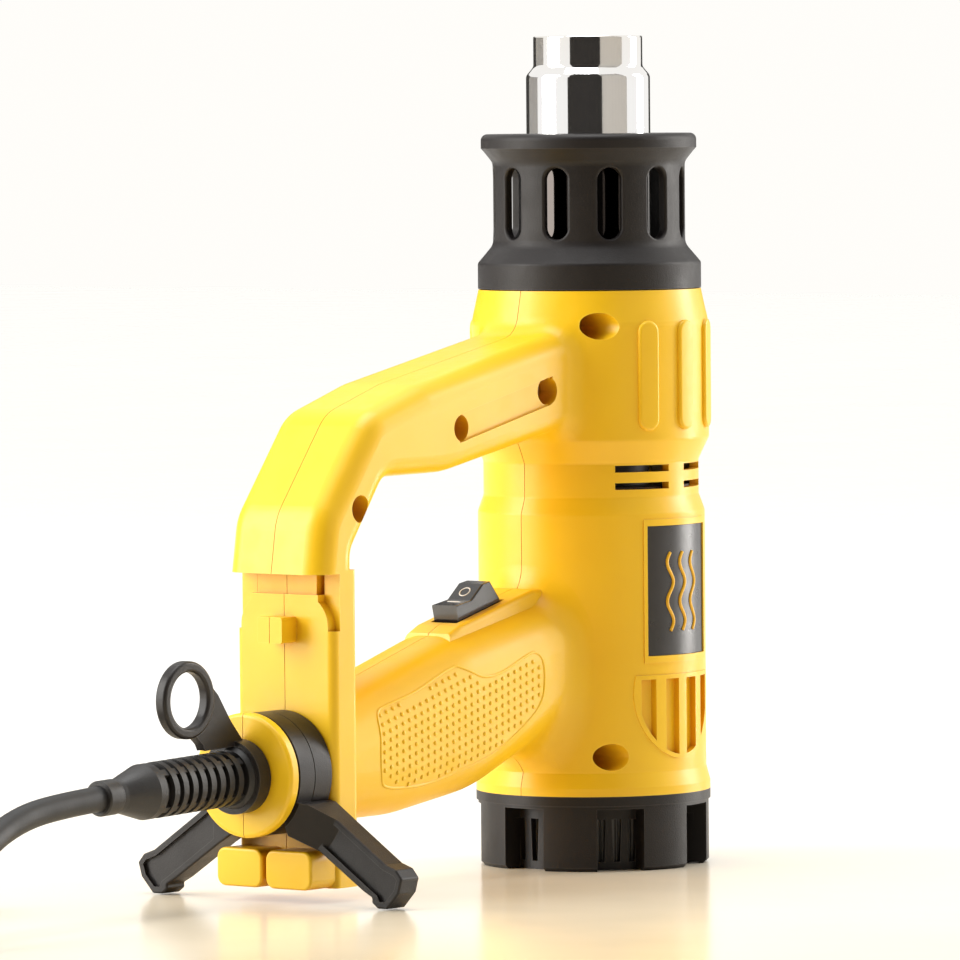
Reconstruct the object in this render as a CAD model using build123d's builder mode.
"""Workshop heat gun: two moulded shells, nozzle and lift-off guard, heater, motor and fan,
rocker switch, scissor stand legs, hanging loop and a coiled mains lead.

Millimetres.  The origin is on the axis of the barrel at its rear face, +Z runs out of the
nozzle, the handle loop is towards -X and the right-hand shell is the one towards -Y.
"""
from build123d import *
from math import cos, hypot, pi, radians, sin, tan
import os

os.makedirs("parts", exist_ok=True)

# ---------------------------------------------------------------- driving dimensions
# Overall
overall_length = 255.0          # rear cap to nozzle rim
barrel_r = 35.0                 # rear barrel, outside
collar_r = 36.5                 # thicker front collar of the barrel
neck_r = 33.2                   # waist between barrel and collar
wall = 2.8                      # moulded shell wall
reveal = 0.12                   # each shell stands this far back from the seam plane

# Heights along the barrel
cap_top = 23.0                  # rear cap meets the shells
barrel_top = 109.0              # barrel starts to narrow to the neck
neck_bottom = 114.0
neck_top = 124.5
collar_bottom = 131.5
collar_top = 167.0
shell_top = 177.2               # guard sits here

# Nozzle and guard
nozzle_r = 19.1
nozzle_wall = 0.9
outlet_r = 16.8                 # standard accessory spigot
outlet_length = 9.4
outlet_step = 2.8               # length of the shoulder behind the spigot
guard_base_r = 34.4
guard_waist_r = 29.6
guard_flange_r = 33.2
guard_wall = 2.6
guard_base_height = 7.8
guard_top = 225.0
guard_lip_z = 219.6              # underside of the rounded lip
guard_slots = 11
guard_slot_width = 7.4
guard_slot_low = 192.8
guard_slot_high = 214.6
guard_slot_edge_r = 0.8
guard_clearance = 0.3           # guard to shell and guard to nozzle
guard_spigot_r = 30.0           # collar of the shells inside the guard base

# Rear cap
cap_r = 35.6
cap_wall = 2.4
cap_windows = 7
cap_window_angle = 24.0
cap_window_top = 19.0
cap_spigot = 5.5                # length of the cap inside the shells
basket_r = 29.5                 # inner slotted basket
basket_wall = 1.8

# Handle loop
half_width = 18.7               # half thickness of arm and column across the seam
arm_edge_r = 7.0                # rounding of the long edges
arm_inner_edge_r = 5.5
column_back = -148.3            # rear face of the column
column_front = -137.0           # face towards the hand
column_bottom = 4.3
bend_back = -154.2              # rear face of the bend above the column
step_z = 96.8                   # underside of the bend, where the column is set back
grip_half_width = 17.6
grip_edge_r = 15.0
blend_r = 12.0                  # fillet where the grip runs into the barrel
arm_blend_r = 8.0

# Stand
pivot_z = 38.2                  # height of cable boss and of both leg pivots
hub_r = 11.5                    # boss that the legs turn on
disc_r = 18.4
disc_face = -167.8
disc_thick = 3.4
leg_fit = 0.3                   # bore to boss, radial
leg_ring_r = 18.2
leg_ring_thick = 6.5
leg_arm_thick = 8.0
leg_panel_depth = 1.2
leg_gap = 0.4                   # between the two rings

# Switch
rocker_slope = 14.3             # degrees, slope of the switch bezel
rocker_length = 21.0
rocker_width = 9.4

# Fasteners
screw_r = 1.5
screw_head_r = 3.6
screw_head_thick = 2.2
screw_length = 22.0
counterbore_r = 4.1
boss_r = 5.3

# Lead
cord_r = 3.8
fit = 0.05                      # radial clearance of drilled or moulded holes on pins


# ---------------------------------------------------------------- helpers
def save(piece, name):
    """Label one finished piece and write its STEP file."""
    piece.part.label = name
    export_step(piece.part, f"parts/{name}.step")


def radial_plane(angle, radius, z):
    """Plane facing outwards at an angle round the barrel, its x along the tangent."""
    a = radians(angle)
    return Plane(
        origin=(radius * cos(a), radius * sin(a), z),
        x_dir=(-sin(a), cos(a), 0),
        z_dir=(cos(a), sin(a), 0),
    )


def side_plane(y):
    """Plane across the seam with sketch x along +X and sketch y along +Z, facing -Y."""
    return Plane(origin=(0, y, 0), x_dir=(1, 0, 0), z_dir=(0, -1, 0))


def ring(r_in, r_out, z_low, z_high):
    """Plain tube about the barrel axis."""
    with BuildPart() as tube:
        with BuildSketch(Plane.XY.offset(z_low)):
            Circle(r_out)
            if r_in:
                Circle(r_in, mode=Mode.SUBTRACT)
        extrude(amount=z_high - z_low)
    return tube.part


def about_x(radius_in, radius_out, x_low, x_high):
    """Plain tube about the leg pivot axis, which runs along X."""
    with BuildPart() as tube:
        with BuildSketch(Plane.YZ.offset(x_low)):
            with Locations((0, pivot_z)):
                Circle(radius_out)
                if radius_in:
                    Circle(radius_in, mode=Mode.SUBTRACT)
        extrude(amount=x_high - x_low)
    return tube.part


def lathe(plane, outline):
    """Turn a closed (radius, distance) outline about the z axis of a plane."""
    side = Plane(origin=plane.origin, x_dir=plane.x_dir, z_dir=-plane.y_dir)
    with BuildPart() as turned:
        with BuildSketch(side):
            with BuildLine():
                Polyline(*outline)
            make_face()
        revolve(axis=Axis(plane.origin, plane.z_dir))
    return turned.part


# ---------------------------------------------------------------- shells: outer form
with BuildPart() as barrel:
    with BuildSketch(Plane.XZ):
        with BuildLine():
            Polyline(
                (0, cap_top), (barrel_r + 1.2, cap_top), (barrel_r + 1.2, cap_top + 2.5),
                (barrel_r, cap_top + 7), (barrel_r, barrel_top), (neck_r, neck_bottom),
                (neck_r, neck_top), (collar_r, collar_bottom), (collar_r, collar_top),
                (guard_base_r - 0.1, shell_top), (0, shell_top), (0, cap_top),
            )
        make_face()
    revolve(axis=Axis.Z)
    rims = barrel.edges().filter_by(GeomType.CIRCLE)
    fillet(rims.filter_by(lambda e: abs(e.center().Z - collar_top) < 0.1), 6)
    waist_heights = (barrel_top, neck_bottom, neck_top, collar_bottom)
    rims = barrel.edges().filter_by(GeomType.CIRCLE)
    fillet(rims.filter_by(lambda e: min(abs(e.center().Z - z) for z in waist_heights) < 0.1), 1.2)

# Upper arm and the bend down to the column, as one bar with soft edges.
with BuildSketch(side_plane(half_width)) as arm_side:
    with BuildLine():
        FilletPolyline(
            (10, 173.5), (-103, 151.0), (-128.5, 143.0), (-151.5, 113.5), (bend_back, step_z),
            radius=(18, 14, 16),
        )
        Line((bend_back, step_z), (column_front, step_z))
        FilletPolyline(
            (column_front, step_z), (column_front, 103), (-121.5, 124.2), (-92, 124.6), (10, 144.0),
            radius=(7, 7, 40),
        )
        Line((10, 144.0), (10, 173.5))
    make_face()


def is_outer(edge):
    """True for an edge on the outside of the handle loop."""
    c = edge.center()
    return c.Z > 0.21 * c.X + 151 or c.X < -143


with BuildPart() as arm:
    extrude(arm_side.sketch, amount=2 * half_width)
    rim = arm.edges().filter_by(lambda e: abs(abs(e.center().Y) - half_width) < 0.01)
    rim = rim.filter_by(lambda e: e.center().X < 9 and e.center().Z > step_z + 0.5)
    fillet(rim.filter_by(is_outer), arm_edge_r)
    rim = arm.edges().filter_by(lambda e: abs(abs(e.center().Y) - half_width) < 0.01)
    rim = rim.filter_by(lambda e: e.center().X < 9 and e.center().Z > step_z + 0.5)
    fillet(rim.filter_by(lambda e: not is_outer(e)), arm_inner_edge_r)

# Hand grip between barrel and column.
grip_back = column_back + 6
with BuildSketch(side_plane(grip_half_width)) as grip_side:
    with BuildLine():
        FilletPolyline((-12, 88.5), (-83, 74.0), (grip_back, 56.5), radius=(60,))
        Line((grip_back, 56.5), (grip_back, 22.5))
        FilletPolyline((grip_back, 22.5), (-108, 22.5), (-72, 27.3), (-12, 50.5), radius=(60, 60))
        Line((-12, 50.5), (-12, 88.5))
    make_face()
with BuildPart() as grip:
    extrude(grip_side.sketch, amount=2 * grip_half_width)
    rim = grip.edges().filter_by(lambda e: abs(abs(e.center().Y) - grip_half_width) < 0.01)
    fillet(rim.filter_by(lambda e: grip_back + 1 < e.center().X < -13), grip_edge_r)

# Column behind the hand.
with BuildPart() as column:
    with BuildSketch(side_plane(half_width)):
        with Locations(((column_back + column_front) / 2, (column_bottom + step_z + 1) / 2)):
            Rectangle(column_front - column_back, step_z + 1 - column_bottom)
    extrude(amount=2 * half_width)
    uprights = column.edges().filter_by(Axis.Z)
    fillet(uprights.filter_by(lambda e: e.center().X < column_back + 1), 2.5)
    uprights = column.edges().filter_by(Axis.Z)
    fillet(uprights.filter_by(lambda e: e.center().X > column_front - 1), 2.0)

# Two-tier ridge round the switch opening, level with the bezel slope.
bezel = Plane(
    origin=(-61.7, 0, 81.0),
    x_dir=(cos(radians(rocker_slope)), 0, sin(radians(rocker_slope))),
    z_dir=(-sin(radians(rocker_slope)), 0, cos(radians(rocker_slope))),
)
bezel_half_width = rocker_width / 2 + 4.0
with BuildPart() as switch_ridge:
    with BuildSketch(side_plane(bezel_half_width)):
        with BuildLine():
            Polyline(
                (-82.5, 70), (-80.5, 75.2), (-76.0, 77.35), (-40, 86.5), (-30, 86.5), (-30, 70), (-82.5, 70),
            )
        make_face()
    extrude(amount=2 * bezel_half_width)
    ridge_rim = switch_ridge.edges().filter_by(lambda e: abs(abs(e.center().Y) - bezel_half_width) < 0.01)
    fillet(ridge_rim.filter_by(lambda e: e.center().Z > 76 and e.center().X < -31), 1.6)

with BuildPart() as shell_form:
    add(barrel)
    add(grip)
    fillet(shell_form.edges(Select.NEW), blend_r)
    add(arm)
    fillet(shell_form.edges(Select.NEW), arm_blend_r)
    add(switch_ridge)
    add(column)

# ---------------------------------------------------------------- shells: hollow inside
inner_r = barrel_r - wall
neck_inner_r = neck_r - wall
collar_inner_r = collar_r - wall
with BuildPart() as barrel_bore:
    with BuildSketch(Plane.XZ):
        with BuildLine():
            Polyline(
                (0, cap_top - 1), (inner_r + 0.9, cap_top - 1), (inner_r + 0.9, cap_top + cap_spigot),
                (inner_r, cap_top + cap_spigot), (inner_r, barrel_top - 1), (neck_inner_r, neck_bottom),
                (neck_inner_r, neck_top), (collar_inner_r, collar_bottom + 1),
                (collar_inner_r, collar_top - 4), (guard_spigot_r - 2.2, shell_top - 5),
                (guard_spigot_r - 2.2, shell_top + 20), (0, shell_top + 20), (0, cap_top - 1),
            )
        make_face()
    revolve(axis=Axis.Z)

with BuildPart() as arm_bore:
    with BuildSketch(side_plane(half_width - wall)):
        add(arm_side.sketch_local)
        offset(amount=-wall, mode=Mode.REPLACE)
    extrude(amount=2 * (half_width - wall))

with BuildPart() as grip_bore:
    with BuildSketch(side_plane(grip_half_width - wall)):
        add(grip_side.sketch_local)
        offset(amount=-wall, mode=Mode.REPLACE)
    extrude(amount=2 * (grip_half_width - wall))
    rim = grip_bore.edges().filter_by(lambda e: abs(abs(e.center().Y) - grip_half_width + wall) < 0.01)
    fillet(rim.filter_by(lambda e: grip_back + 3.5 < e.center().X < -16), grip_edge_r - wall)


def barrel_sector(angle_from, angle_to, r_in, r_out, z_low, z_high):
    """Part of a ring about the barrel axis, between two angles."""
    a = radians(angle_from)
    start = Plane(origin=(0, 0, 0), x_dir=(cos(a), sin(a), 0), z_dir=(sin(a), -cos(a), 0))
    with BuildPart() as sector:
        with BuildSketch(start):
            with Locations(((r_in + r_out) / 2, (z_low + z_high) / 2)):
                Rectangle(r_out - r_in, z_high - z_low)
        revolve(axis=Axis.Z, revolution_arc=angle_to - angle_from)
    return sector.part


def across(x, z, radius, y_low, y_high):
    """Cylinder along Y, for screws, bosses and their holes."""
    with BuildPart() as rod:
        with BuildSketch(side_plane(y_high)):
            with Locations((x, z)):
                Circle(radius)
        extrude(amount=y_high - y_low)
    return rod.part


sides = (270, 90)               # middle of the right and of the left flank
label_half_angle = 23.4
label_low = 65.5
label_high = 105.3
label_depth = 0.8
screw_spots = (
    (-26.6, 166.5), (26.6, 166.5), (-23.7, 35.0), (23.7, 35.0),
    (-44.7, 147.3), (-86.6, 137.6), (-135.0, 115.5),
)
head_seat = 10.0                # depth of the screw head seats from the seam

with BuildPart() as bosses:
    for x, z in screw_spots:
        add(across(x, z, boss_r, -half_width - 12, half_width + 12))
    add(shell_form, mode=Mode.INTERSECT)

# Three raised grip ridges on each flank of the collar.
ridge_low = 134.5
ridge_high = 168.0
ridge_width = 7.0
ridge_height = 1.2
ridge_edge_r = 0.9
with BuildPart() as ridges:
    for flank in sides:
        for step in (-23.4, 0, 23.4):
            with BuildSketch(radial_plane(flank + step, collar_r - 2, (ridge_low + ridge_high) / 2)):
                SlotOverall(ridge_high - ridge_low, ridge_width, rotation=90)
            extrude(amount=4)
    add(ring(collar_r - 3, collar_r + ridge_height, ridge_low - 1, ridge_high + 1), mode=Mode.INTERSECT)
    fillet(ridges.edges().filter_by(
        lambda e: abs(hypot((e @ 0.5).X, (e @ 0.5).Y) - collar_r - ridge_height) < 0.02), ridge_edge_r)

# Four mould-draw grooves below the label, ended by the round foot of a shield.
groove_depth = 1.6
groove_width = 5.6
groove_top = 58.4
shield_z = 54.0
shield_half = 16.6
shield_drop = 19.0
shield_turn = -1.0              # the shield sits this many degrees off the flank


def shield(flank, depth, grow):
    """Shield outline, wider by grow, as a block that ends a given depth below the barrel skin."""
    with BuildPart() as block:
        with BuildSketch(radial_plane(flank + shield_turn, barrel_r / 2, shield_z)):
            Ellipse(shield_half + grow, shield_drop + grow)
            with Locations((0, groove_top - shield_z + grow + 20)):
                Rectangle(80, 40, mode=Mode.SUBTRACT)
        extrude(amount=barrel_r)
        add(ring(barrel_r - depth, barrel_r + 20, 20, 80), mode=Mode.INTERSECT)
    return block.part


with BuildPart() as grooves:
    for flank in sides:
        add(shield(flank, groove_depth, 0))
with BuildPart() as groove_lands:
    for flank in sides:
        for step in (-30.0, -15.0, 0, 15.0, 30.0):
            land = barrel_r * sin(radians(step))
            with BuildSketch(radial_plane(flank + shield_turn, barrel_r / 2, shield_z)):
                with Locations((land, 0)):
                    Rectangle(barrel_r * radians(15) - groove_width, 60)
            extrude(amount=barrel_r)
with BuildPart() as groove_cut:
    add(grooves)
    add(groove_lands, mode=Mode.SUBTRACT)
with BuildPart() as shield_pads:
    for flank in sides:
        add(shield(flank, 1, 1.3))
    add(ring(barrel_r - 1, barrel_r + 0.4, 20, 80), mode=Mode.INTERSECT)

with BuildPart() as vents:
    for flank in sides:
        for step in (-23.0, 23.0):
            for z in (117.5, 122.8):
                add(barrel_sector(flank + step - 16.5, flank + step + 16.5,
                                  neck_inner_r - 1, neck_r + 4, z - 1.05, z + 1.05))

# Shallow panel that joins the two arm screws.
panel_depth = 1.1
with BuildPart() as arm_panels:
    for y in (half_width + 1, panel_depth - half_width):
        with BuildSketch(side_plane(y)):
            with BuildLine():
                Polyline((-88.0, 133.2), (-43.5, 143.2), (-42.8, 151.8), (-87.2, 141.9), (-88.0, 133.2))
            make_face()
        extrude(amount=1 + panel_depth)

# Bearing for the stand: hub and disc on the column, open for the lead.
hub_bore = 7.2
with BuildPart() as stand_boss:
    add(about_x(0, hub_r, disc_face + disc_thick - 0.5, column_back + 1))
    add(about_x(0, disc_r, disc_face, disc_face + disc_thick))
    fillet(stand_boss.edges().filter_by(GeomType.CIRCLE).filter_by(
        lambda e: abs(e.center().X - disc_face) < 0.01), 1.2)

foot_back = -159.0
foot_low = 4.4
foot_high = 15.8
with BuildPart() as foot_blocks:
    for side in (-1, 1):
        with BuildSketch(Plane.YZ.offset(foot_back)):
            with Locations((side * 9.35, (foot_low + foot_high) / 2)):
                RectangleRounded(17.3, foot_high - foot_low, 3)
        extrude(amount=column_back - foot_back + 1)
    fillet(foot_blocks.edges().filter_by(lambda e: abs(e.center().X - foot_back) < 0.01), 0.8)

# Rest for the folded legs, on the middle of the column.
peg_half = 4.7
with BuildPart() as peg:
    with BuildSketch(Plane.YZ.offset(-155.2)):
        with Locations((0, 80.25)):
            RectangleRounded(2 * peg_half, 7.7, 0.8)
    extrude(amount=8)

# Set-back bar between bend and column, with a slot each side and a plate with round shoulders.
bar_low = 90.6
bar_depth = 1.4
bar_slot_depth = 5.0
bar_slot_width = 1.6
bar_half = 12.9
shoulder_low = 80.0
shoulder_depth = 3.2
bar_middle = (bar_low + step_z) / 2
with BuildPart() as column_recess:
    with Locations((column_back, 0, bar_middle)):
        Box(2 * bar_depth, 2 * bar_half, step_z - bar_low)
    for side in (-1, 1):
        with Locations((column_back, side * (bar_half - bar_slot_width / 2), bar_middle)):
            Box(2 * bar_slot_depth, bar_slot_width, step_z - bar_low)
    with BuildSketch(Plane.YZ.offset(column_back - 1)):
        with Locations((0, (shoulder_low + step_z) / 2)):
            Rectangle(2 * half_width + 2, step_z - shoulder_low)
        with Locations((0, bar_low - 20)):
            RectangleRounded(2 * 16.6, 40, 9.5, mode=Mode.SUBTRACT)
        with Locations((0, bar_middle)):
            Rectangle(2 * bar_half, step_z - bar_low + 4, mode=Mode.SUBTRACT)
    extrude(amount=1 + shoulder_depth)

with BuildPart() as column_bore:
    bore_low = column_bottom + wall
    bore_high = 83.0
    bore_middle = (column_back + column_front) / 2
    with Locations((bore_middle, 0, (bore_low + bore_high) / 2)):
        Box(column_front - column_back - 2 * wall, 2 * (half_width - wall), bore_high - bore_low)
    with Locations((column_front, 0, pivot_z)):
        Box(12, 18, 17)

# Opening and pocket of the rocker switch, square to the bezel.
swing_room = rocker_length / 2 + 1.6
switch_half_width = 7.2
with BuildPart(bezel) as switch_opening:
    Box(2 * swing_room, rocker_width + 0.8, 14)
    with Locations((0, 0, -14)):
        Box(2 * swing_room + 2.6, 2 * switch_half_width + 0.6, 24.2)

# Ring rib inside the collar that carries the nozzle plate.
nozzle_plate_z = 150.0
with BuildPart() as shell_pair:
    add(shell_form)
    add(barrel_bore, mode=Mode.SUBTRACT)
    add(arm_bore, mode=Mode.SUBTRACT)
    add(grip_bore, mode=Mode.SUBTRACT)
    add(column_bore, mode=Mode.SUBTRACT)
    add(ring(collar_inner_r - 4.5, collar_inner_r + 0.5, nozzle_plate_z - 3.5, nozzle_plate_z - 0.1))
    add(ring(guard_spigot_r - 2.2, guard_spigot_r, shell_top - 4, shell_top + 6))
    add(bosses)
    add(ridges)
    for flank in sides:
        add(barrel_sector(flank - 25.4, flank + 25.4, barrel_r - 1, barrel_r + 0.4, 63.5, 107.3))
    add(shield_pads)
    add(stand_boss)
    add(foot_blocks)
    add(peg)
    add(column_recess, mode=Mode.SUBTRACT)
    add(groove_cut, mode=Mode.SUBTRACT)
    add(vents, mode=Mode.SUBTRACT)
    add(arm_panels, mode=Mode.SUBTRACT)
    add(switch_opening, mode=Mode.SUBTRACT)
    add(about_x(0, hub_bore, disc_face - 1, column_back + wall + 1), mode=Mode.SUBTRACT)
    for flank in sides:
        add(barrel_sector(flank - label_half_angle, flank + label_half_angle,
                          barrel_r - label_depth, barrel_r + 3, label_low, label_high), mode=Mode.SUBTRACT)

far = 400.0
with BuildPart() as right_shell:
    add(shell_pair)
    with Locations((0, far / 2 - reveal, 0)):
        Box(2 * far, far, 2 * far, mode=Mode.SUBTRACT)
    for x, z in screw_spots:
        add(across(x, z, counterbore_r, -half_width - 20, -head_seat), mode=Mode.SUBTRACT)
        add(across(x, z, screw_r + 0.3, -head_seat - 1, 1), mode=Mode.SUBTRACT)
save(right_shell, "right_shell")

with BuildPart() as left_shell:
    add(shell_pair)
    with Locations((0, reveal - far / 2, 0)):
        Box(2 * far, far, 2 * far, mode=Mode.SUBTRACT)
    for x, z in screw_spots:
        add(across(x, z, screw_r + fit, -1, screw_length - head_seat + 1), mode=Mode.SUBTRACT)
save(left_shell, "left_shell")

# Dark name plates, left blank.
for name, flank in (("right_badge", sides[0]), ("left_badge", sides[1])):
    with BuildPart() as badge:
        edge = label_half_angle - 0.2
        add(barrel_sector(flank - edge, flank + edge, barrel_r - label_depth, barrel_r - 0.05,
                          label_low + 0.15, label_high - 0.15))
    save(badge, name)

# ---------------------------------------------------------------- screws
with BuildPart() as housing_screws:
    for x, z in screw_spots:
        add(across(x, z, screw_head_r, -head_seat - screw_head_thick, -head_seat))
        add(across(x, z, screw_r, -head_seat, screw_length - head_seat))
        with BuildSketch(side_plane(-head_seat - screw_head_thick + 1.2)):
            with Locations((x, z)):
                RegularPolygon(1.4, 6)
        extrude(amount=4, mode=Mode.SUBTRACT)
save(housing_screws, "housing_screws")

# ---------------------------------------------------------------- nozzle and guard
outlet_z = overall_length - outlet_length
step_low = outlet_z - outlet_step
with BuildPart() as nozzle:
    with BuildSketch(Plane.XZ):
        with BuildLine():
            Polyline(
                (nozzle_r - nozzle_wall, nozzle_plate_z), (collar_inner_r - 0.3, nozzle_plate_z),
                (collar_inner_r - 0.3, nozzle_plate_z + 1.2), (nozzle_r, nozzle_plate_z + 1.2),
                (nozzle_r, step_low), (outlet_r, outlet_z), (outlet_r, overall_length),
                (outlet_r - nozzle_wall, overall_length), (outlet_r - nozzle_wall, outlet_z - 0.4),
                (nozzle_r - nozzle_wall, step_low - 0.4), (nozzle_r - nozzle_wall, nozzle_plate_z),
            )
        make_face()
    revolve(axis=Axis.Z)
    rims = nozzle.edges().filter_by(GeomType.CIRCLE)
    fillet(rims.filter_by(lambda e: abs(e.center().Z - step_low) < 0.01 and e.radius > nozzle_r - 0.1), 2.4)
    rims = nozzle.edges().filter_by(GeomType.CIRCLE)
    fillet(rims.filter_by(lambda e: abs(e.center().Z - outlet_z) < 0.01 and e.radius > outlet_r - 0.1), 1.6)
    rims = nozzle.edges().filter_by(GeomType.CIRCLE)
    fillet(rims.filter_by(lambda e: e.center().Z > overall_length - 0.1 and e.radius > outlet_r - 0.1), 0.6)
save(nozzle, "nozzle")

guard_low = shell_top + guard_clearance
guard_hole_r = nozzle_r + 0.6
guard_spigot_fit = guard_spigot_r + 0.35
with BuildPart() as nozzle_guard:
    with BuildSketch(Plane.XZ):
        with BuildLine():
            Polyline(
                (guard_spigot_fit, guard_low), (guard_base_r, guard_low),
                (guard_base_r, guard_low + guard_base_height), (guard_waist_r, 191.0),
                (guard_waist_r, 216.2), (guard_flange_r - 0.9, guard_lip_z),
                (guard_flange_r, guard_lip_z + 1.0),
                (guard_flange_r, guard_top), (guard_hole_r, guard_top), (guard_hole_r, guard_top - 3.2),
                (guard_waist_r - guard_wall, guard_top - 3.2), (guard_waist_r - guard_wall, 189.0),
                (guard_spigot_fit, shell_top + 7.2), (guard_spigot_fit, guard_low),
            )
        make_face()
    revolve(axis=Axis.Z)
    rims = nozzle_guard.edges().filter_by(GeomType.CIRCLE)
    fillet(rims.filter_by(lambda e: abs(e.center().Z - guard_top) < 0.01 and e.radius > 30), 2.0)
    rims = nozzle_guard.edges().filter_by(GeomType.CIRCLE)
    fillet(rims.filter_by(lambda e: abs(e.center().Z - 216.2) < 0.01), 3.0)
    rims = nozzle_guard.edges().filter_by(GeomType.CIRCLE)
    fillet(rims.filter_by(lambda e: abs(e.center().Z - 191.0) < 0.01), 4.0)
    base_top = guard_low + guard_base_height
    rims = nozzle_guard.edges().filter_by(GeomType.CIRCLE)
    base_rims = rims.filter_by(lambda e: e.radius > guard_base_r - 0.1)
    fillet(base_rims.filter_by(lambda e: abs(e.center().Z - base_top) < 0.01), 1.5)
    for count in range(guard_slots):
        slot_angle = 230.3 + count * 360 / guard_slots
        with BuildSketch(radial_plane(slot_angle, guard_waist_r - 6, (guard_slot_low + guard_slot_high) / 2)):
            SlotOverall(guard_slot_high - guard_slot_low, guard_slot_width, rotation=90)
        extrude(amount=12, mode=Mode.SUBTRACT)
    slot_edges = nozzle_guard.edges().filter_by(
        lambda e: guard_slot_low - 0.1 < (e @ 0.5).Z < guard_slot_high + 0.1
        and abs(hypot((e @ 0.5).X, (e @ 0.5).Y) - guard_waist_r) < 0.02
        and e.length < 2 * (guard_slot_high - guard_slot_low))
    fillet(slot_edges, guard_slot_edge_r)
save(nozzle_guard, "nozzle_guard")

# ---------------------------------------------------------------- rear cap and filter
cap_floor = 2.0
with BuildPart() as rear_cap:
    add(ring(cap_r - cap_wall, cap_r, 0, cap_top - 3))
    chamfer(rear_cap.edges().filter_by(lambda e: e.center().Z < 0.01 and e.radius > cap_r - 0.1), 1.2)
    for count in range(cap_windows):
        middle = 180 + count * 360 / cap_windows
        add(barrel_sector(middle - cap_window_angle / 2, middle + cap_window_angle / 2,
                          cap_r - cap_wall - 1, cap_r + 2, -1, cap_window_top), mode=Mode.SUBTRACT)
        # Reveal of each window: two cheeks that run in to the basket.
        for side in (-1, 1):
            cheek = middle + side * (cap_window_angle / 2 + 1.2)
            add(barrel_sector(cheek - 1.2, cheek + 1.2, basket_r - 0.5, cap_r - 1, 0.4, cap_top - 3))
    add(ring(basket_r - basket_wall, cap_r + 0.6, cap_top - 3, cap_top))
    add(ring(barrel_r - wall - 1.4, inner_r + 0.7, cap_top - 0.5, cap_top + cap_spigot - 0.3))
    add(ring(basket_r - basket_wall, basket_r, 0, cap_top - 2))
    with BuildSketch():
        Circle(basket_r)
    extrude(amount=cap_floor)
    # Tapered air slots in the basket wall, three behind each window.
    for count in range(cap_windows):
        for step in (-9.5, 0, 9.5):
            slot_angle = 180 + count * 360 / cap_windows + step
            with BuildSketch(radial_plane(slot_angle, basket_r - 4, 9.5)):
                with BuildLine():
                    Polyline((-1.0, -7), (1.0, -7), (1.5, 6), (-1.5, 6), (-1.0, -7))
                make_face()
            extrude(amount=6, mode=Mode.SUBTRACT)
    # Rows of slots in the rear face round a plain hub.
    for count in range(18):
        slot_angle = count * 20
        a = radians(slot_angle)
        with BuildSketch(Plane.XY.offset(-1)):
            with Locations(Location((18.5 * cos(a), 18.5 * sin(a), 0), (0, 0, slot_angle))):
                SlotOverall(13.0, 2.6)
        extrude(amount=cap_floor + 2, mode=Mode.SUBTRACT)
save(rear_cap, "rear_cap")

with BuildPart() as intake_filter:
    add(ring(0, barrel_r - wall - 1.6, cap_top, cap_top + 1.6))
    add(ring(basket_r - basket_wall - 1.9, basket_r - basket_wall - 0.3, cap_floor + 0.1, cap_top))
save(intake_filter, "intake_filter")

# ---------------------------------------------------------------- motor and fan
can_r = 18.0
can_low = 30.0
can_high = 68.0
shaft_r = 1.5
shaft_fit = 0.06
with BuildPart() as motor_can:
    add(ring(0, can_r, can_low, can_high))
    add(ring(0, can_r - 1.4, can_low - 1, can_high - 1.4), mode=Mode.SUBTRACT)
    add(ring(0, 4.05, can_high - 3, can_high + 1), mode=Mode.SUBTRACT)
    fillet(motor_can.edges().filter_by(
        lambda e: abs(e.center().Z - can_high) < 0.01 and e.radius > can_r - 0.1), 1.2)
save(motor_can, "motor_can")

with BuildPart() as motor_end_cap:
    add(ring(4.05, can_r - 0.5, can_low - 2.4, can_low))
    add(ring(4.05, can_r - 1.5, can_low, can_low + 2))
save(motor_end_cap, "motor_end_cap")

with BuildPart() as motor_bushes:
    add(ring(shaft_r + shaft_fit, 4.0, can_low - 2.4, can_low + 2.5))
    add(ring(shaft_r + shaft_fit, 4.0, can_high - 3.5, can_high + 1))
save(motor_bushes, "motor_bushes")

with BuildPart() as motor_magnets:
    for middle in (0, 180):
        add(barrel_sector(middle - 65, middle + 65, 13.2, can_r - 1.45, 37, 62))
save(motor_magnets, "motor_magnets")

with BuildPart() as motor_shaft:
    add(ring(0, shaft_r, can_low - 3, 86))
    fillet(motor_shaft.edges().filter_by(GeomType.CIRCLE), 0.3)
save(motor_shaft, "motor_shaft")

with BuildPart() as armature:
    add(ring(shaft_r, 12.4, 40, 58))
    for count in range(5):
        with BuildSketch(radial_plane(count * 72, 8, 49)):
            Rectangle(2.4, 20)
        extrude(amount=6, mode=Mode.SUBTRACT)
    add(ring(shaft_r, 5.0, 34, 40))
save(armature, "armature")

fan_low = 72.0
fan_high = 83.0
fan_r = 29.4
fan_hub_r = 10.0
fan_blades = 9
with BuildPart() as fan:
    for count in range(fan_blades):
        blade_angle = count * 360 / fan_blades
        with BuildSketch(radial_plane(blade_angle, fan_hub_r - 1, (fan_low + fan_high) / 2)):
            Rectangle(13.0, 1.4, rotation=42)
        extrude(amount=fan_r - fan_hub_r + 3)
    add(ring(0, fan_r, fan_low + 0.5, fan_high - 0.5), mode=Mode.INTERSECT)
    add(ring(0, fan_hub_r, fan_low, fan_high))
    add(ring(3.4, fan_hub_r - 1.6, fan_low - 1, fan_high - 2), mode=Mode.SUBTRACT)
    add(ring(0, shaft_r, fan_low - 1, fan_high + 1), mode=Mode.SUBTRACT)
save(fan, "fan")

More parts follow.
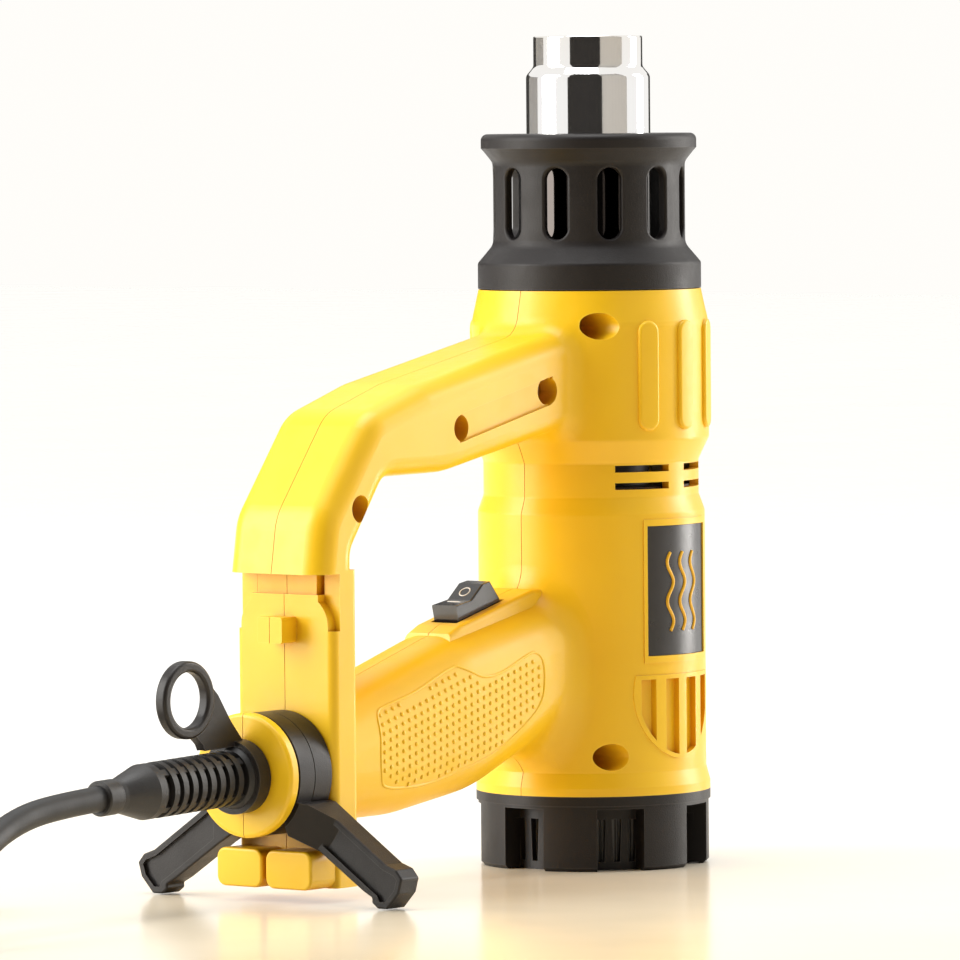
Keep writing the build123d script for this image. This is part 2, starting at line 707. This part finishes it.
shroud_low = 69.0
shroud_high = 85.0
with BuildPart() as fan_shroud:
    add(ring(fan_r + 0.9, inner_r - 0.1, shroud_low, shroud_high))
    add(ring(fan_r - 2.2, inner_r - 0.1, shroud_low - 1.5, shroud_low))
    with Locations((-inner_r, 0, shroud_high - 3)):
        Box(8, 12, 20, mode=Mode.SUBTRACT)
save(fan_shroud, "fan_shroud")

with BuildPart() as motor_ring:
    add(ring(can_r + 0.02, can_r + 1.6, 46, 56))
    fillet(motor_ring.edges().filter_by(GeomType.CIRCLE), 0.4)
save(motor_ring, "motor_ring")

with BuildPart() as motor_mount:
    for count in range(4):
        with BuildSketch(radial_plane(45 + count * 90, can_r + 2, 51)):
            Rectangle(3.2, 8)
        extrude(amount=inner_r - can_r - 2.1)
    add(ring(can_r + 1.62, can_r + 3.6, 46, 56))
save(motor_mount, "motor_mount")

# ---------------------------------------------------------------- heater
heater_z = 115.0                # seat of the heater plate, inside the waist
heater_plate_thick = 2.0
tube_r = nozzle_r - nozzle_wall - 0.25
tube_wall = 0.7
core_high = 234.0
core_r = 16.1
with BuildPart() as heater_plate_ring:
    add(ring(0, neck_inner_r - 0.25, heater_z, heater_z + heater_plate_thick))
    for count in range(6):
        a = radians(count * 60)
        with BuildSketch(Plane.XY.offset(heater_z - 1)):
            with Locations((9.5 * cos(a), 9.5 * sin(a))):
                Circle(3.6)
        extrude(amount=heater_plate_thick + 2, mode=Mode.SUBTRACT)
save(heater_plate_ring, "heater_plate")

tube_low = heater_z + heater_plate_thick
with BuildPart() as mica_sleeve:
    add(ring(tube_r - tube_wall, tube_r, tube_low, 240))
save(mica_sleeve, "mica_sleeve")

with BuildPart() as heater_core:
    with BuildSketch(Plane.XY.offset(tube_low)):
        Circle(7.5)
        for count in range(8):
            a = radians(count * 45)
            spoke = (core_r / 2 * cos(a), core_r / 2 * sin(a), 0)
            with Locations(Location(spoke, (0, 0, count * 45))):
                Rectangle(core_r, 2.4)
        Circle(2.4, mode=Mode.SUBTRACT)
    extrude(amount=core_high - tube_low)
save(heater_core, "heater_core")

coil_wire_r = 0.35
coil_pitch = 5.0
with BuildPart() as heater_coils:
    turn_z = tube_low + 4
    while turn_z < core_high - 4:
        with BuildSketch(Plane.XZ):
            with Locations((core_r + coil_wire_r + 0.1, turn_z)):
                Circle(coil_wire_r)
        revolve(axis=Axis.Z)
        turn_z += coil_pitch
save(heater_coils, "heater_coils")

with BuildPart() as temperature_probe:
    add(ring(0, 0.9, tube_low, 238))
save(temperature_probe, "temperature_probe")

with BuildPart() as thermal_cutout:
    with Locations((0, 24, tube_low + 4.5)):
        Box(9, 4, 9)
    fillet(thermal_cutout.edges().filter_by(Axis.Z), 0.8)
save(thermal_cutout, "thermal_cutout")

# ---------------------------------------------------------------- switch
with BuildPart(bezel) as switch_case:
    with Locations((0, 0, -14.2)):
        Box(2 * swing_room + 2.2, 2 * switch_half_width, 24.0)
    with Locations((0, 0, -5.2)):
        Box(2 * swing_room, rocker_width + 0.8, 9.2, mode=Mode.SUBTRACT)
    for x in (-8, 0, 8):
        with Locations((x, 0, -28.0)):
            Box(0.8, 5, 4)
pivot = bezel.from_local_coords(Vector(0, 0, -4))
rocker_pin_r = 1.0
with BuildPart() as pin_hole:
    add(across(pivot.X, pivot.Z, rocker_pin_r + 0.02, -switch_half_width + 0.4, switch_half_width - 0.4))
with BuildPart() as switch_body:
    add(switch_case)
    add(pin_hole, mode=Mode.SUBTRACT)
save(switch_body, "switch_body")

rocker_plane = Plane(
    origin=bezel.from_local_coords(Vector(0, rocker_width / 2, 0)), x_dir=bezel.x_dir, z_dir=(0, -1, 0))
half_rocker = rocker_length / 2
with BuildPart() as switch_rocker:
    with BuildSketch(rocker_plane):
        with BuildLine():
            Polyline(
                (-half_rocker, -3), (-half_rocker, 5.0), (-3.0, 4.4), (3.6, 7.5), (7.4, 7.2),
                (half_rocker - 0.3, 1.5), (half_rocker - 0.3, -3), (-half_rocker, -3),
            )
        make_face()
        with Locations((0, -4)):
            Circle(3)
    extrude(amount=rocker_width)
    lip = switch_rocker.edges().filter_by(lambda e: abs(abs(e.center().Y) - rocker_width / 2) < 0.01)
    fillet(lip.filter_by(lambda e: bezel.to_local_coords(e.center()).Z > 3.5), 0.5)
    add(across(pivot.X, pivot.Z, rocker_pin_r + 0.02, -rocker_width, rocker_width), mode=Mode.SUBTRACT)
save(switch_rocker, "switch_rocker")

with BuildPart() as rocker_pin:
    add(across(pivot.X, pivot.Z, rocker_pin_r, -switch_half_width + 0.5, switch_half_width - 0.5))
save(rocker_pin, "rocker_pin")

# ---------------------------------------------------------------- electronics in the arm
board = Plane(origin=(-65.6, 0, 139.5), x_dir=(cos(radians(13)), 0, sin(radians(13))),
              z_dir=(-sin(radians(13)), 0, cos(radians(13))))
with BuildPart(board) as circuit_board:
    Box(28, 27, 1.6)
save(circuit_board, "circuit_board")
with BuildPart(board) as board_parts:
    with Locations((-7, -6, 0.8)):
        Cylinder(4.2, 8, align=(Align.CENTER, Align.CENTER, Align.MIN))
    with Locations((-7, 7, 0.8)):
        Box(9, 5, 7.5, align=(Align.CENTER, Align.CENTER, Align.MIN))
    with Locations((5, -7, 0.8)):
        Box(10, 4, 6, align=(Align.CENTER, Align.CENTER, Align.MIN))
    with Locations((8, 6, 0.8)):
        Cylinder(2.4, 5, align=(Align.CENTER, Align.CENTER, Align.MIN))
save(board_parts, "board_parts")

# ---------------------------------------------------------------- stand legs
def leg_outline(side):
    """Side view of one leg arm, looking along X, for the leg towards side * Y."""
    return [
        (side * 12.0, 31.5), (side * 19.5, 30.2), (side * 44.4, 13.4), (side * 48.4, 12.0),
        (side * 50.6, 9.4), (side * 49.4, 5.2), (side * 45.0, 0.4), (side * 41.4, 0.4),
        (side * 39.2, 2.0), (side * 39.4, 3.4), (side * 36.0, 5.2), (side * 19.0, 16.4),
        (side * 12.0, 20.6), (side * 12.0, 31.5),
    ]


leg_bore_r = hub_r + leg_fit
washer_thick = 0.8
leg_stop = column_back - 0.6                    # front face of the legs, clear of the column
ring_start = disc_face + disc_thick + washer_thick + 0.3
outer_ring = (ring_start, ring_start + leg_ring_thick)
inner_ring = (outer_ring[1] + leg_gap, leg_stop)
arm_x = (leg_stop - leg_arm_thick, leg_stop)
arm_clear_r = leg_ring_r + 0.6
leg_axis = Plane(origin=(0, 0, pivot_z), x_dir=(0, 1, 0), z_dir=(1, 0, 0))


def leg_bar(x_low, x_high, outline):
    """Bar along X with a given outline seen along X."""
    with BuildPart() as bar:
        with BuildSketch(Plane.YZ.offset(x_low)):
            with BuildLine():
                Polyline(*outline)
            make_face()
        extrude(amount=x_high - x_low)
    return bar.part


def leg_root(side, x_low, x_high, r_in, r_near, r_far):
    """Part of the leg bar about the pivot, its outer radius growing from r_near to r_far."""
    with BuildPart() as root:
        add(leg_bar(x_low, x_high, leg_outline(side)))
        add(lathe(leg_axis, [(r_in, x_low - 1), (r_near, x_low - 1), (r_near, x_low),
                             (r_far, x_high), (r_in, x_high), (r_in, x_low - 1)]), mode=Mode.INTERSECT)
    return root.part


def leg(side, own_ring, root_r):
    """One stand leg: its ring on the boss, and an arm with a sunk panel and a foot."""
    panel = [
        (side * 21.0, 27.0), (side * 43.6, 11.7), (side * 47.5, 10.3), (side * 48.6, 9.0),
        (side * 47.6, 5.9), (side * 44.3, 2.4), (side * 42.2, 2.4), (side * 41.3, 4.2),
        (side * 37.0, 7.0), (side * 21.0, 17.8), (side * 21.0, 27.0),
    ]
    with BuildPart() as piece:
        add(leg_bar(*arm_x, leg_outline(side)))
        long_edges = piece.edges().filter_by(Axis.X).filter_by(lambda e: abs(e.center().Y) > 30)
        fillet(long_edges, 0.8)
        rim = piece.faces().sort_by(Axis.X)[0].edges().filter_by(lambda e: abs(e.center().Y) > 14)
        fillet(rim, 0.6)
        add(leg_bar(arm_x[0] - 1, arm_x[0] + leg_panel_depth, panel), mode=Mode.SUBTRACT)
        add(about_x(0, arm_clear_r, arm_x[0] - 1, arm_x[1] + 1), mode=Mode.SUBTRACT)
        if root_r:
            add(leg_root(side, own_ring[0], arm_x[0] + 1.5, arm_clear_r, leg_ring_r + 1, root_r))
        add(leg_root(side, *own_ring, leg_bore_r + 1, arm_clear_r + 0.5, arm_clear_r + 0.5))
        add(about_x(leg_bore_r + 0.5, leg_ring_r, *own_ring))
        add(about_x(0, leg_bore_r, own_ring[0] - 5, own_ring[1] + 5), mode=Mode.SUBTRACT)
    return piece


right_leg = leg(-1, outer_ring, 31.0)
save(right_leg, "right_leg")
left_leg = leg(1, inner_ring, 0)
save(left_leg, "left_leg")

with BuildPart() as leg_washer:
    add(about_x(hub_r + 0.1, 15.5, disc_face + disc_thick, disc_face + disc_thick + washer_thick))
save(leg_washer, "leg_washer")

# ---------------------------------------------------------------- lead entry
lead_tilt = radians(2.0)
entry = Plane(
    origin=(disc_face, 0, pivot_z), x_dir=(0, 1, 0), z_dir=(-cos(lead_tilt), 0, -sin(lead_tilt)))
relief_length = 64.7
rib_start = 7.0
rib_end = 44.0
rib_pitch = 4.1


cord_fit = 0.04
with BuildPart() as strain_relief:
    add(lathe(entry, [
        (cord_r + cord_fit, 0.15), (9.25, 0.15), (9.25, 5.5), (8.3, rib_start), (6.2, rib_start),
        (6.2, rib_end - 1), (8.15, rib_end - 1), (8.15, 46.0), (5.0, 56.5), (4.75, 58.0), (5.2, 58.6),
        (5.2, relief_length - 0.5),
        (4.8, relief_length), (cord_r + cord_fit, relief_length), (cord_r + cord_fit, 0.15),
    ]))
    rib_at = rib_start + 2.2
    while rib_at < rib_end - 2:
        rib_top = rib_at + 2.2
        add(lathe(entry, [(6.0, rib_at), (8.2, rib_at), (8.2, rib_top), (6.0, rib_top), (6.0, rib_at)]))
        rib_at += rib_pitch
    # Four rails that tie the ribs together, narrow enough to leave the windows open.
    with BuildSketch(entry.offset(rib_start)):
        for a in (45, 135, 225, 315):
            with Locations(Location((6.6 * cos(radians(a)), 6.6 * sin(radians(a)), 0), (0, 0, a))):
                Rectangle(2.4, 2.2)
    extrude(amount=rib_end - rib_start)
    # Root inside the boss, and the flange that keeps it in the column.
    add(about_x(cord_r + 2.4, hub_bore - 0.15, disc_face - 0.15, column_back + wall))
    add(about_x(cord_r + 2.4, hub_bore + 1.6, column_back + wall + 0.15, column_back + wall + 2.2))
    add(about_x(cord_r + 2.4, hub_bore - 0.6, column_back + wall - 0.5, column_back + wall + 0.6))
save(strain_relief, "strain_relief")

# Hanging loop, clipped round the root of the strain relief.
loop_x = -193.6
loop_z = 62.0
loop_hole_r = 8.2
loop_outer_r = 11.4
loop_thick = 4.0
loop_edge_r = 1.0
loop_web = 3.2
with BuildPart() as hanging_loop:
    with BuildSketch(Plane(origin=(loop_x, 0, loop_z), x_dir=(1, 0, 0), z_dir=(0, 0, 1))):
        with Locations(((loop_outer_r + loop_hole_r) / 2, 0)):
            RectangleRounded(loop_outer_r - loop_hole_r, loop_thick, loop_edge_r)
    revolve(axis=Axis((loop_x, 0, loop_z), (0, 1, 0)))
    with BuildSketch(side_plane(loop_web / 2)):
        with BuildLine():
            Polyline((-195.6, 52.5), (-190.6, 51.2), (-187.6, 48.6), (-186.0, 45.6), (-169.8, 44.5),
                     (-169.8, 49.0), (-174.8, 54.6), (-180.6, 62.8), (-183.6, 65.6), (-195.6, 52.5))
        make_face()
        with Locations((loop_x, loop_z)):
            Circle(loop_hole_r + 0.3, mode=Mode.SUBTRACT)
    extrude(amount=loop_web)
    add(lathe(entry, [(0, -1), (9.35, -1), (9.35, 30), (0, 30), (0, -1)]), mode=Mode.SUBTRACT)
    add(lathe(entry, [(9.35, 0.3), (10.9, 0.3), (10.9, 5.3), (9.35, 5.3), (9.35, 0.3)]))
save(hanging_loop, "hanging_loop")

cord_end_x = -118.0
exit_point = entry.from_local_coords(Vector(0, 0, relief_length))
inner_length = (cord_end_x - exit_point.X) / cos(lead_tilt)
with BuildPart() as inner_lead:
    add(lathe(entry, [(0, relief_length), (cord_r, relief_length), (cord_r, relief_length - inner_length),
                      (0, relief_length - inner_length), (0, relief_length)]))
save(inner_lead, "inner_lead")

clamp_x = -127.0
clamp_axis_z = pivot_z + (clamp_x - disc_face) * tan(lead_tilt)
clamp_half = 11.0
clamp_screw_y = 7.8
with BuildPart() as cord_saddle:
    with Locations((clamp_x, 0, (clamp_axis_z - cord_r - 0.2 + 29.5) / 2)):
        Box(8, 2 * clamp_half, clamp_axis_z - cord_r - 0.2 - 29.5)
    for side in (-1, 1):
        with Locations((clamp_x, side * clamp_screw_y, 30)):
            Cylinder(1.35, 30, mode=Mode.SUBTRACT)
save(cord_saddle, "cord_saddle")
clamp_low = clamp_axis_z + cord_r + 0.2
with BuildPart() as cord_clamp:
    with Locations((clamp_x, 0, clamp_low + 1.4)):
        Box(8, 2 * clamp_half, 2.8)
    for side in (-1, 1):
        with Locations((clamp_x, side * clamp_screw_y, clamp_low)):
            Cylinder(1.5, 30, mode=Mode.SUBTRACT)
    fillet(cord_clamp.edges().filter_by(Axis.Z).filter_by(lambda e: abs(e.center().Y) > 10), 2)
save(cord_clamp, "cord_clamp")
with BuildPart() as clamp_screws:
    for side in (-1, 1):
        with Locations((clamp_x, side * clamp_screw_y, clamp_low + 2.8)):
            Cylinder(2.6, 1.8, align=(Align.CENTER, Align.CENTER, Align.MIN))
        with Locations((clamp_x, side * clamp_screw_y, 30)):
            Cylinder(1.3, clamp_low + 3 - 30, align=(Align.CENTER, Align.CENTER, Align.MIN))
        with Locations((clamp_x, side * clamp_screw_y, clamp_low + 3.9)):
            Box(0.8, 6, 1.6, mode=Mode.SUBTRACT)
save(clamp_screws, "clamp_screws")


def lead_run(points, radii, radius):
    """Insulated wire along straight runs and tangent arcs."""
    with BuildPart() as wire:
        with BuildLine() as route:
            FilletPolyline(*points, radius=radii)
        start = Vector(*points[0])
        onward = Vector(*points[1]) - start
        with BuildSketch(Plane(origin=start, z_dir=onward)):
            Circle(radius)
        sweep(path=route.line)
    return wire.part


with BuildPart() as supply_leads:
    for side in (-1, 1):
        add(lead_run([(-117.8, side * 1.9, 40.0), (-106, side * 2.6, 41.0), (-92, side * 3.2, 46.0),
                      (-78, side * 3.2, 49.0)], (8, 12), 1.2))
save(supply_leads, "supply_leads")
with BuildPart() as heater_leads:
    for side in (-1, 1):
        add(lead_run([(-44.0, side * 3.0, 68.6), (-38.5, side * 3.0, 69.8), (-33.6, side * 3.0, 75.0),
                      (-28.6, side * 3.0, 86.0), (-25.0, side * 4.0, 100.0), (-24.0, side * 4.0, 114.8)],
                     (4, 6, 12, 12), 1.1))
save(heater_leads, "heater_leads")
with BuildPart() as board_leads:
    for side in (-1, 1):
        add(lead_run([(-50.6, side * 8.0, 140.8), (-31.0, side * 8.8, 140.2), (-26.4, side * 9.5, 133.0),
                      (-25.2, side * 10.0, 127.0), (-22.5, side * 10.5, 118.0)], (5, 12, 12), 1.1))
save(board_leads, "board_leads")

# ---------------------------------------------------------------- free lead, coil and plug
lead_points = (
    (exit_point.X, exit_point.Y, exit_point.Z), (-248.0, -0.2, 35.2), (-267.0, -1.6, 33.2),
    (-287.0, -6.0, 27.6), (-307.0, -13.0, 18.2), (-327.5, -20.6, 8.6), (-347.0, -26.0, 4.0),
    (-364.0, -27.5, cord_r + 0.02),
)
tail_points = (
    (-348.0, 64.3, 19.2), (-334.0, 65.2, 17.9), (-319.0, 67.0, 13.9), (-305.0, 68.4, 10.9),
    (-293.0, 68.6, 10.0),
)
coil_x = -366.0
coil_y = 22.0
coil_r = 42.0
coil_columns = 3
coil_layers = 3
plug_y = 68.6
plug_z = 10.0


def cord_tube(points):
    """Cord along straight runs, each corner an arc as large as its two runs allow."""
    vectors = [Vector(*p) for p in points]
    radii = []
    for before, here, after in zip(vectors, vectors[1:], vectors[2:]):
        turn = radians((here - before).get_angle(after - here))
        shorter = min((here - before).length, (after - here).length)
        radii.append(0.45 * shorter / tan(turn / 2))
    print("cord radii", [round(r, 1) for r in radii])
    with BuildPart() as tube:
        with BuildLine() as route:
            FilletPolyline(*vectors, radius=radii)
        with BuildSketch(Plane(origin=vectors[0], z_dir=vectors[1] - vectors[0])):
            Circle(cord_r)
        sweep(path=route.line)
    length = sum(edge.length for edge in route.line.edges())
    ratio = tube.part.volume / (pi * cord_r ** 2 * length)
    print("cord length", round(length, 1), "volume ratio", round(ratio, 4))
    return tube


lead_tube = cord_tube(lead_points)
save(lead_tube, "lead_tube")
tail_tube = cord_tube(tail_points)
save(tail_tube, "tail_tube")

coil_half = coil_columns * cord_r
coil_height = coil_layers * 2 * cord_r
with BuildPart() as lead_coil:
    with BuildSketch(Plane(origin=(coil_x, coil_y, 0), x_dir=(1, 0, 0), z_dir=(0, -1, 0))):
        with Locations((coil_r, coil_height / 2)):
            RectangleRounded(2 * coil_half, coil_height, cord_r - 0.1)
    revolve(axis=Axis((coil_x, coil_y, 0), (0, 0, 1)))
save(lead_coil, "lead_coil")

tie_wall = 1.0
with BuildPart() as coil_tie:
    with BuildSketch(Plane(origin=(coil_x - coil_r, coil_y + 4.5, 0), x_dir=(1, 0, 0), z_dir=(0, -1, 0))):
        with Locations((0, coil_height / 2 + tie_wall / 2)):
            RectangleRounded(2 * coil_half + 2 * tie_wall + 0.8, coil_height + tie_wall, 4)
            RectangleRounded(2 * coil_half + 0.8, coil_height - tie_wall, 3, mode=Mode.SUBTRACT)
    extrude(amount=9)
save(coil_tie, "coil_tie")

plug_front = -240.0
plug_back = -274.0
with BuildPart() as plug_body:
    with BuildSketch(Plane.XY.offset(plug_z - 9)):
        with BuildLine():
            Polyline((plug_back - 1, plug_y - 6), (-262, plug_y - 17.5), (plug_front, plug_y - 17.5),
                     (plug_front, plug_y + 17.5), (-262, plug_y + 17.5), (plug_back - 1, plug_y + 6),
                     (plug_back - 1, plug_y - 6))
        make_face()
    extrude(amount=18)
    uprights = plug_body.edges().filter_by(Axis.Z)
    fillet(uprights.filter_by(lambda e: -272 < e.center().X), 5)
    flats = plug_body.edges().filter_by(lambda e: abs(abs(e.center().Z - plug_z) - 9) < 0.01)
    fillet(flats.filter_by(lambda e: plug_back + 1 < e.center().X < plug_front - 0.1), 3)
    boot = Plane(origin=(plug_back + 2, plug_y, plug_z), x_dir=(0, 1, 0), z_dir=(-1, 0, 0))
    add(lathe(boot, [(0, 0), (6.5, 0), (6.2, 3), (5.0, 20.5), (0, 20.5), (0, 0)]))
save(plug_body, "plug_body")
with BuildPart() as plug_pins:
    for side in (-1, 1):
        pin = Plane(origin=(plug_front, plug_y + side * 9.5, plug_z), x_dir=(0, 1, 0), z_dir=(1, 0, 0))
        add(lathe(pin, [(0, 0), (2.4, 0), (2.4, 18), (1.6, 19), (0, 19), (0, 0)]))
save(plug_pins, "plug_pins")
